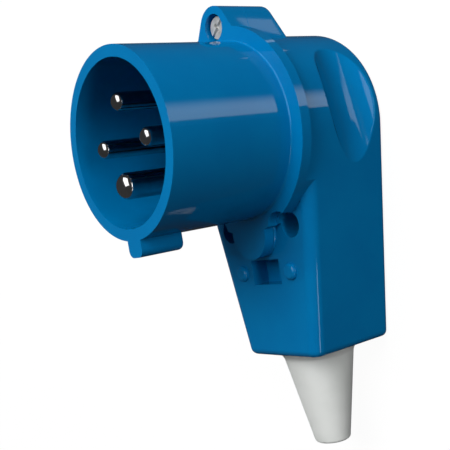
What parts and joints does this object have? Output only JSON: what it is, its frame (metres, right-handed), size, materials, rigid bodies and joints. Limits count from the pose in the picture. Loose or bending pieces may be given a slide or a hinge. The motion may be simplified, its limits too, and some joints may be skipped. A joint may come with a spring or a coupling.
{
  "type": "angled industrial plug",
  "caption": "Angled industrial plug: keyed round shroud round the contact pins, flat tapered housing with finger recesses, and a tapered cable sleeve at a right angle to the pins.",
  "frame": {"origin": "centre of the shroud's mouth, on the axis of the pin circle", "axes": "+Z along the pins, out of the mouth; +Y from the pin axis towards the screw ear, away from the cable; +X to the right, seen from the back with the ear up"},
  "size_m": [0.0582, 0.1293, 0.0725],
  "materials": {
    "blue_plastic": "smooth moulded, semi-gloss",
    "dark_plastic": "matt moulded",
    "grey_sleeve": "soft moulded, matt",
    "seal_rubber": "matt",
    "polished_pin": "polished dark nickel plating",
    "plated_steel": "zinc plated"
  },
  "bodies": {
    "root": {"housing": "blue_plastic", "shroud": "blue_plastic", "sealing_ring": "seal_rubber", "contact_carrier": "dark_plastic", "pin_retaining_plate": "dark_plastic", "plate_screw": "plated_steel", "line_pin_1": "polished_pin", "line_pin_2": "polished_pin", "line_pin_3": "polished_pin", "earth_pin": "polished_pin", "terminal_screw_1": "plated_steel", "terminal_screw_2": "plated_steel", "terminal_screw_3": "plated_steel", "terminal_screw_4": "plated_steel", "housing_screw": "plated_steel", "cable_clamp_bar": "dark_plastic", "clamp_screw_1": "plated_steel", "clamp_screw_2": "plated_steel", "clamp_nut_1": "plated_steel", "clamp_nut_2": "plated_steel", "cable_sleeve": "grey_sleeve"}
  },
  "joints": []
}
